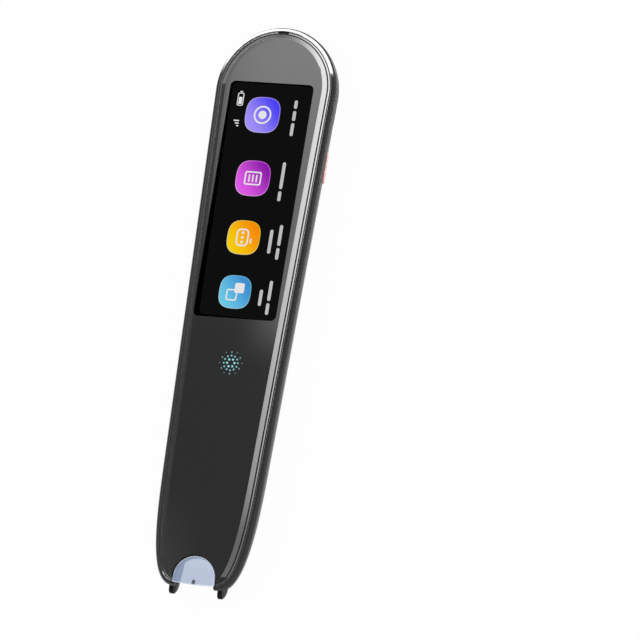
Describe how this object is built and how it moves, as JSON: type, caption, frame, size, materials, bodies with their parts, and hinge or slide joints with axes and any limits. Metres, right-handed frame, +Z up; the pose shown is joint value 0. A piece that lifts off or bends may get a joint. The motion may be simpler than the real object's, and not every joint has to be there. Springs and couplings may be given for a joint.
{
  "type": "text scanning pen",
  "caption": "Flat hand-held scanning pen with a screen, a round head, a forked clear-windowed tip, a side key, a card slot and a speaker grille.",
  "frame": {"origin": "on the surface that the pen lies on, under the middle of its length and width", "axes": "+Z up out of the screen, +Y along the pen towards the round head, +X towards the side with the key and the card slot"},
  "size_m": [0.0328, 0.1474, 0.0101],
  "materials": {
    "shell_gloss": "high gloss black",
    "liner_black": "satin black",
    "cover_glass": "polished, black behind",
    "clear_plate": "clear, polished",
    "key_pink": "pink anodised look",
    "light_guide": "translucent teal",
    "lens_black": "coated lens",
    "board_green": "solder mask",
    "battery_foil": "foil pouch",
    "flex_orange": "polyimide film",
    "pale_plastic": "moulded",
    "chip_black": "moulded epoxy",
    "steel": "stamped sheet"
  },
  "bodies": {
    "pen": {"back_shell": "shell_gloss", "front_frame": "shell_gloss", "front_glass": "cover_glass", "scan_window": "clear_plate", "trigger_switch": "liner_black", "tip_board": "board_green", "camera_housing": "liner_black", "camera_lens": "lens_black", "camera_window": "cover_glass", "light_board": "board_green", "scan_light_left": "light_guide", "scan_light_right": "light_guide", "camera_flex": "flex_orange", "battery": "battery_foil", "battery_lead": "flex_orange", "battery_connector": "pale_plastic", "main_board": "board_green", "processor": "chip_black", "memory_chip": "chip_black", "power_chip": "chip_black", "wireless_module": "steel", "chip_antenna": "pale_plastic", "microphone": "steel", "board_screw_1": "steel", "board_screw_2": "steel", "board_screw_3": "steel", "board_screw_4": "steel", "display_panel": "cover_glass", "backlight_tray": "steel", "display_flex": "flex_orange", "display_connector": "pale_plastic", "status_light_guide": "light_guide", "status_light_board": "board_green", "speaker": "liner_black", "speaker_mesh": "liner_black", "button_switch": "steel", "card_socket": "steel", "usb_socket": "steel"},
    "trigger": {"tip_trigger": "liner_black"},
    "key": {"power_button": "key_pink"}
  },
  "joints": [
    {"name": "tip_press", "type": "slide", "parent": "pen", "child": "trigger", "axis": [0, 1, 0], "range_m": [0, 0.0004], "stiffness_N_per_m": 2500},
    {"name": "key_press", "type": "slide", "parent": "pen", "child": "key", "axis": [-1, 0, 0], "range_m": [0, 0.0004], "stiffness_N_per_m": 3000}
  ]
}
